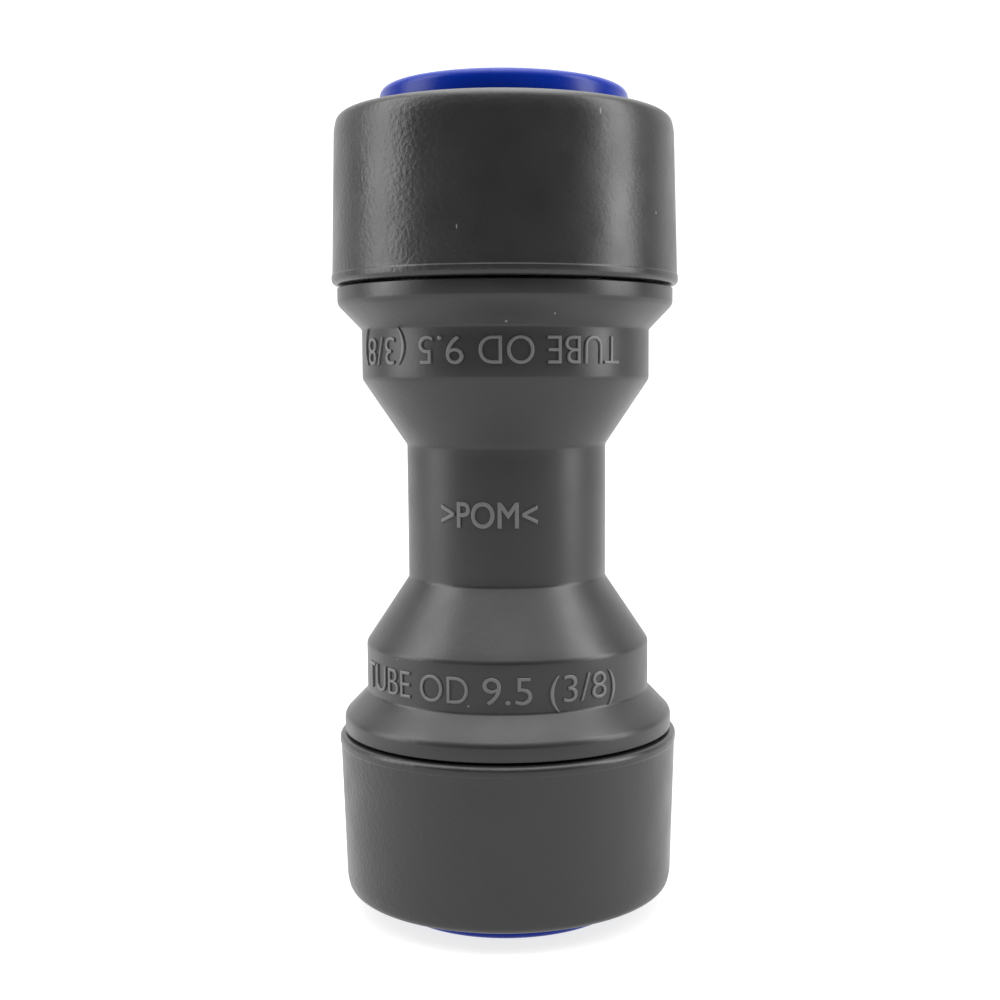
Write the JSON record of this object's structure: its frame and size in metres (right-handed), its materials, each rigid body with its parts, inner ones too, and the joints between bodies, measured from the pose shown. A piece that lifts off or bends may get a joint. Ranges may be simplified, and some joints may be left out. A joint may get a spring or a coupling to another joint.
{
  "type": "push fit coupling",
  "caption": "Straight push-fit coupling for plastic tube: a waisted body with O-rings and sliding toothed collets held in by a cap at each end.",
  "frame": {"origin": "the middle of the body, on the tube axis and in the centre of the neck", "axes": "+Z along the tube axis towards the upper end, +X to the right and +Y to the back as the coupling stands upright; the coupling is the same all round, so X and Y are only a choice"},
  "size_m": [0.021, 0.021, 0.0501],
  "materials": {
    "grey_acetal": "satin moulded acetal, dark grey",
    "cap_acetal": "satin moulded acetal, dark grey",
    "blue_acetal": "semi-gloss moulded acetal, deep blue",
    "o_ring_rubber": "matt black nitrile rubber, lightly greased",
    "white_acetal": "natural white moulded acetal",
    "tooth_steel": "bright stamped stainless steel"
  },
  "bodies": {
    "coupling_body": {"body": "grey_acetal", "upper_cap": "cap_acetal", "upper_inner_o_ring": "o_ring_rubber", "upper_outer_o_ring": "o_ring_rubber", "upper_spacer_ring": "white_acetal", "lower_cap": "cap_acetal", "lower_inner_o_ring": "o_ring_rubber", "lower_outer_o_ring": "o_ring_rubber", "lower_spacer_ring": "white_acetal"},
    "upper_support": {"upper_support_ring": "white_acetal"},
    "upper_release": {"upper_collet": "blue_acetal", "upper_tooth_1": "tooth_steel", "upper_tooth_2": "tooth_steel", "upper_tooth_3": "tooth_steel", "upper_tooth_4": "tooth_steel", "upper_tooth_5": "tooth_steel", "upper_tooth_6": "tooth_steel", "upper_tooth_7": "tooth_steel", "upper_tooth_8": "tooth_steel"},
    "lower_support": {"lower_support_ring": "white_acetal"},
    "lower_release": {"lower_collet": "blue_acetal", "lower_tooth_1": "tooth_steel", "lower_tooth_2": "tooth_steel", "lower_tooth_3": "tooth_steel", "lower_tooth_4": "tooth_steel", "lower_tooth_5": "tooth_steel", "lower_tooth_6": "tooth_steel", "lower_tooth_7": "tooth_steel", "lower_tooth_8": "tooth_steel"}
  },
  "joints": [
    {"name": "upper_collet_turn", "type": "hinge", "parent": "coupling_body", "child": "upper_support", "pos_m": [0, 0, 0.0154], "axis": [0, 0, 1], "continuous": true},
    {"name": "upper_collet_slide", "type": "slide", "parent": "upper_support", "child": "upper_release", "axis": [0, 0, 1], "range_m": [-0.0003, 0.0013]},
    {"name": "lower_collet_turn", "type": "hinge", "parent": "coupling_body", "child": "lower_support", "pos_m": [0, 0, -0.0154], "axis": [0, 0, -1], "continuous": true},
    {"name": "lower_collet_slide", "type": "slide", "parent": "lower_support", "child": "lower_release", "axis": [0, 0, -1], "range_m": [0, 0.0016]}
  ]
}
